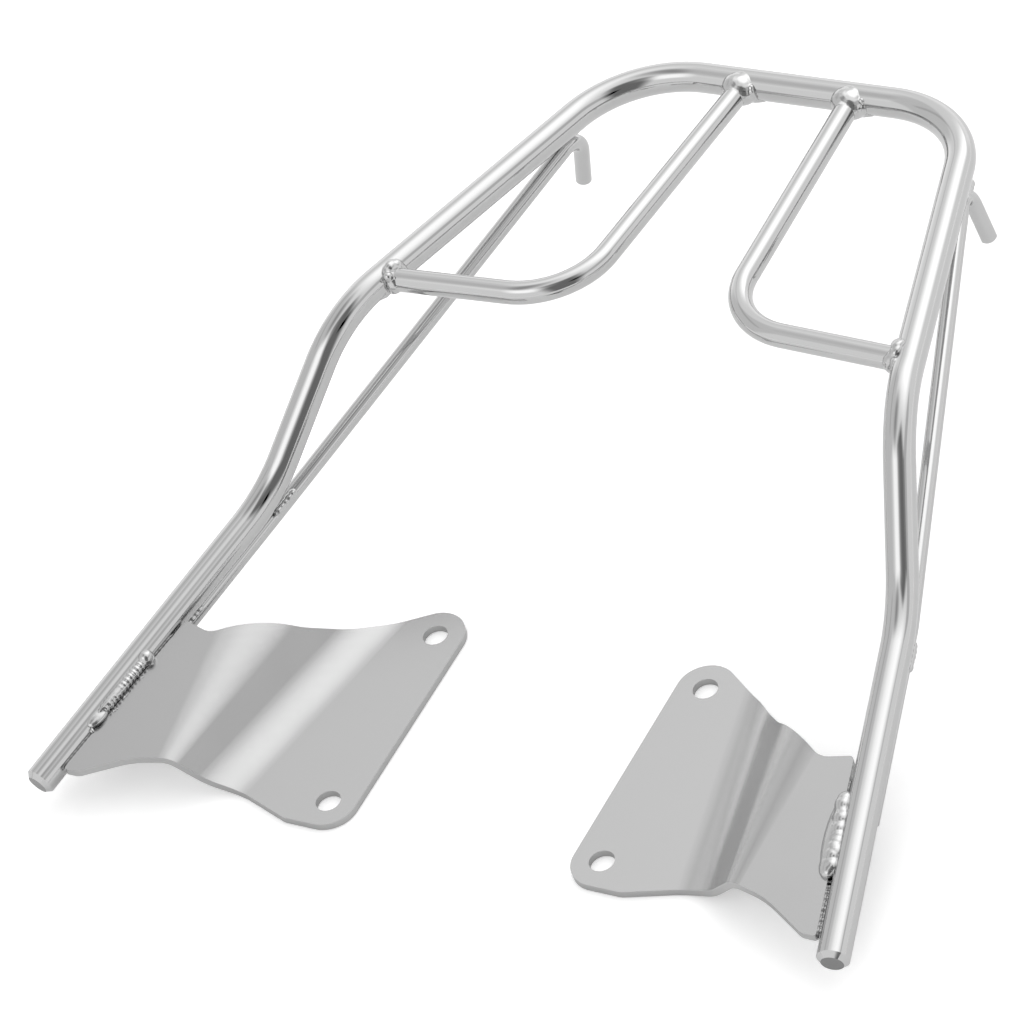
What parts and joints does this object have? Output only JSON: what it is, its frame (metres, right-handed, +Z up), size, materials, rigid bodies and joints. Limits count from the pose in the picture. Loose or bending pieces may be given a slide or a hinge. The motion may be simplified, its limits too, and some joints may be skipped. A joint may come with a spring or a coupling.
{
  "type": "motorcycle luggage rack",
  "caption": "Welded round-bar luggage rack with inner hoops, brace rods ending in strap hooks, and folded mounting plates.",
  "frame": {"origin": "centre of the four mounting holes, on the face of the plates that sits on the motorcycle", "axes": "+X towards the front of the motorcycle, +Y its left, +Z up, square to the seat face"},
  "size_m": [0.3952, 0.3776, 0.0969],
  "materials": {
    "polished_bar": "mirror-bright plating on polished bar",
    "mounting_sheet": "satin, plating on unpolished sheet",
    "weld_bead": "bright plating over a rippled bead"
  },
  "bodies": {
    "root": {"main_loop": "polished_bar", "left_inner_hoop": "polished_bar", "right_inner_hoop": "polished_bar", "left_brace_rod": "polished_bar", "right_brace_rod": "polished_bar", "left_mounting_plate": "mounting_sheet", "right_mounting_plate": "mounting_sheet", "left_hoop_rear_weld": "weld_bead", "right_hoop_rear_weld": "weld_bead", "left_hoop_rail_weld": "weld_bead", "right_hoop_rail_weld": "weld_bead", "left_plate_top_weld": "weld_bead", "right_plate_top_weld": "weld_bead", "left_plate_root_weld": "weld_bead", "right_plate_root_weld": "weld_bead", "left_knee_outer_weld": "weld_bead", "right_knee_outer_weld": "weld_bead", "left_knee_inner_weld": "weld_bead", "right_knee_inner_weld": "weld_bead", "left_tail_weld": "weld_bead", "right_tail_weld": "weld_bead", "left_hook_weld": "weld_bead", "right_hook_weld": "weld_bead"}
  },
  "joints": []
}
